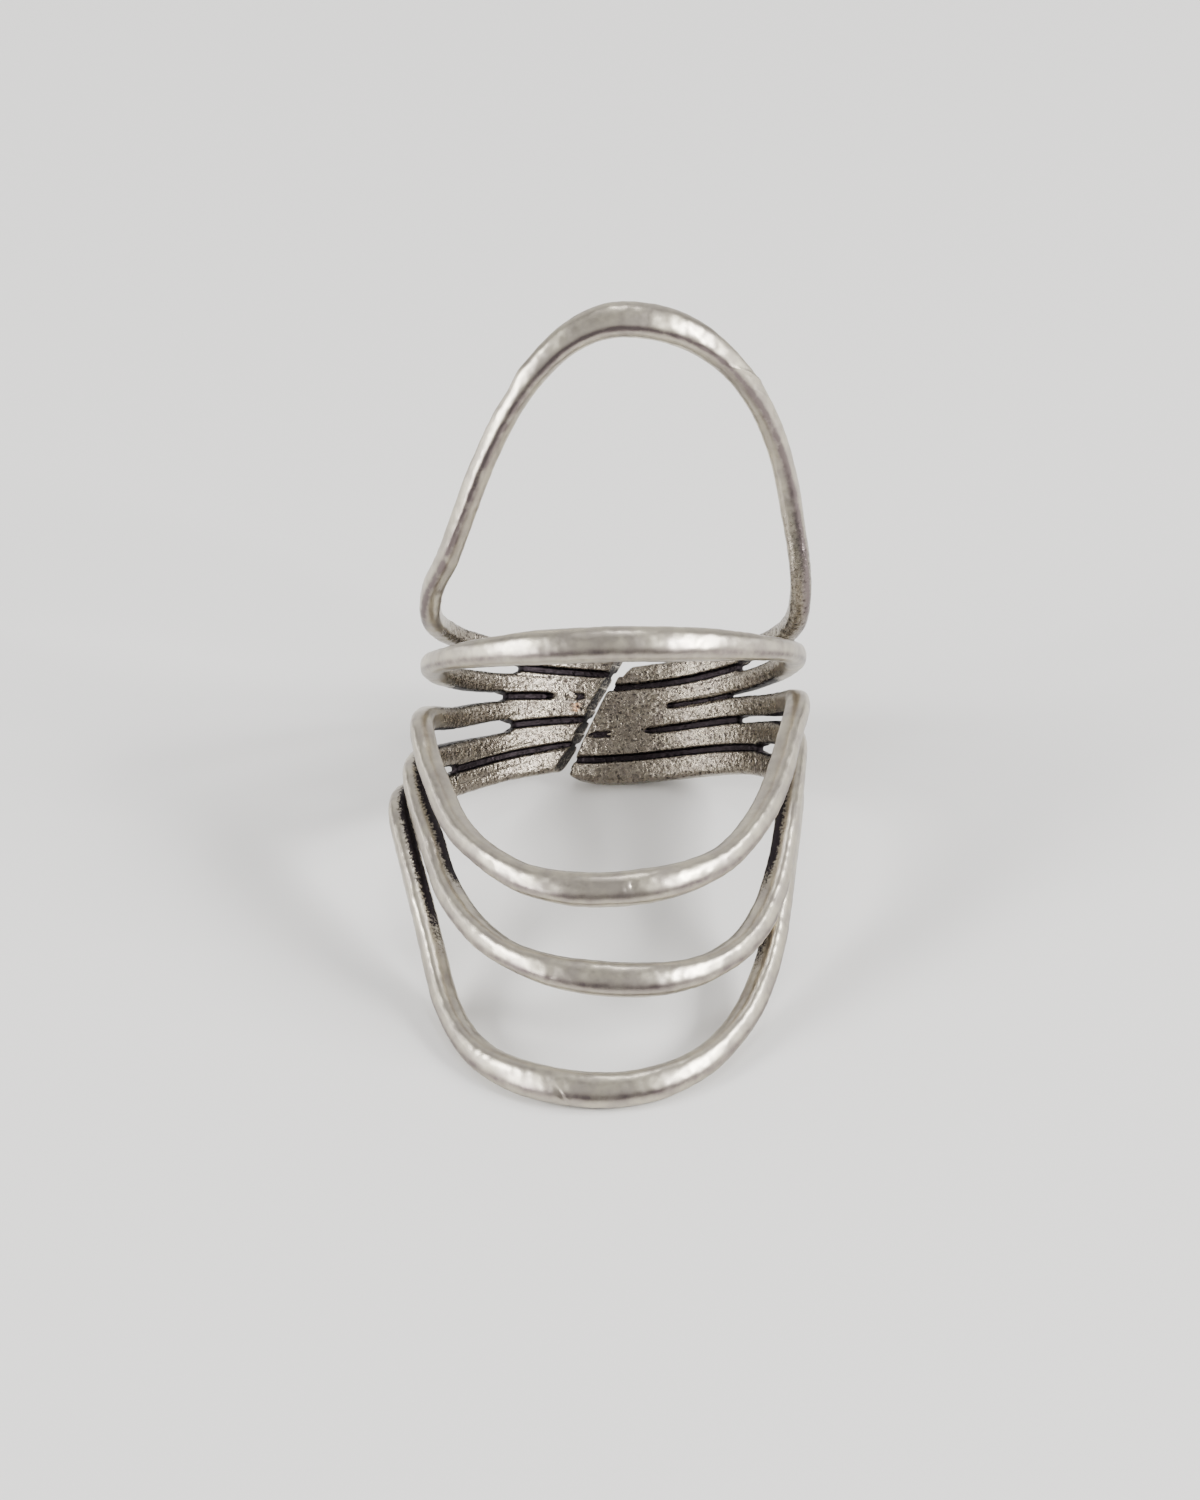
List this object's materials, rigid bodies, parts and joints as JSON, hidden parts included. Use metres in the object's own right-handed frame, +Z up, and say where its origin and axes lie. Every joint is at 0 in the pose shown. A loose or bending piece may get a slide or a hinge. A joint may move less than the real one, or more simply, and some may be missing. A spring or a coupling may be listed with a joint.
{
  "type": "wire ring",
  "caption": "Open-backed finger ring of cast silver-coloured wires: a tall arch above a plain hoop, with nested drooping swags below and a slanted split at the back.",
  "frame": {"origin": "centre of the ring's box, on the surface that it rests on", "axes": "+Z is up; the ring leans back, its front facing -Y and upward; +X runs across the finger, to the right as seen from the front"},
  "size_m": [0.0226, 0.0316, 0.0296],
  "materials": {
    "silver": "worn antique silver, satin with dark patina in the recesses"
  },
  "bodies": {
    "root": {"wire_ring": "silver"}
  },
  "joints": []
}
